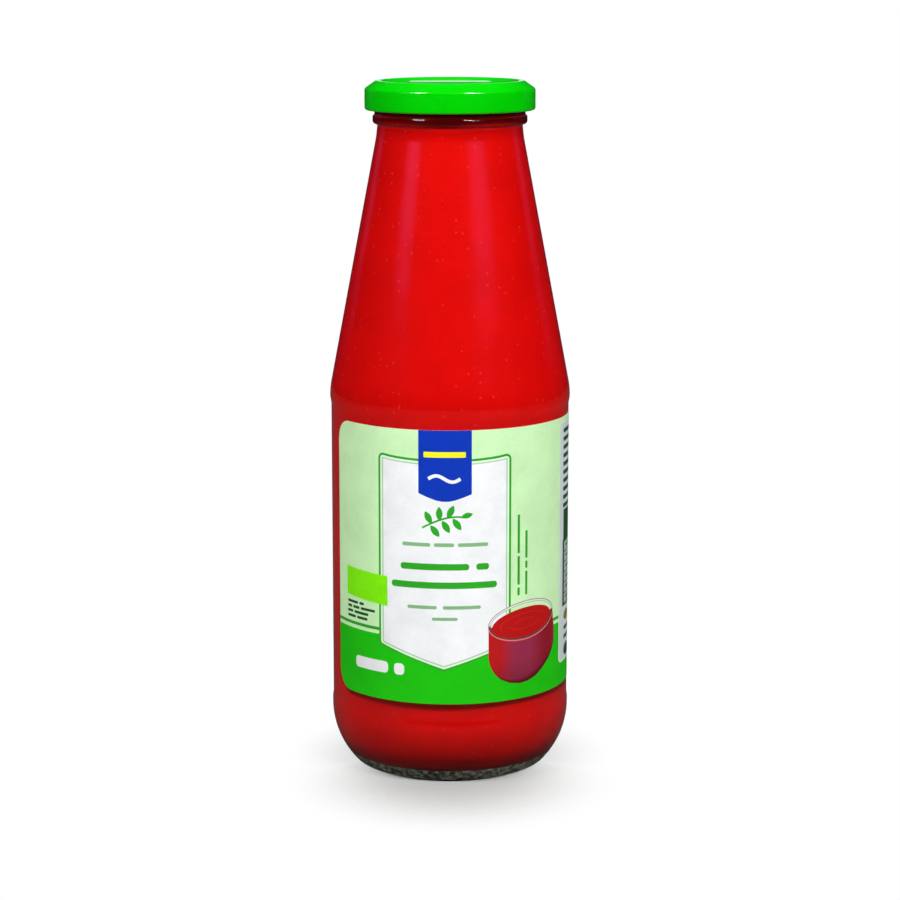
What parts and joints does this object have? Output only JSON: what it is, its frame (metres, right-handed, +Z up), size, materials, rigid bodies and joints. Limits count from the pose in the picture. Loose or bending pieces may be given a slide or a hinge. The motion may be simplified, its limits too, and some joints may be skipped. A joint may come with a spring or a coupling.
{
  "type": "passata bottle",
  "caption": "Clear glass bottle of tomato passata with a sloping shoulder, metal twist-off lid and wrapped paper label.",
  "frame": {"origin": "centre of the base, on the surface the bottle stands on", "axes": "+Z up along the bottle's axis, the label's front towards -Y"},
  "size_m": [0.0782, 0.0782, 0.2235],
  "materials": {
    "glass": "smooth clear glass with a faint green tint",
    "passata": "smooth wet tomato pulp",
    "lid": "glossy lacquered tinplate",
    "label": "satin printed paper"
  },
  "bodies": {
    "root": {"glass": "glass", "passata": "passata", "lid": "lid", "label": "label"}
  },
  "joints": []
}
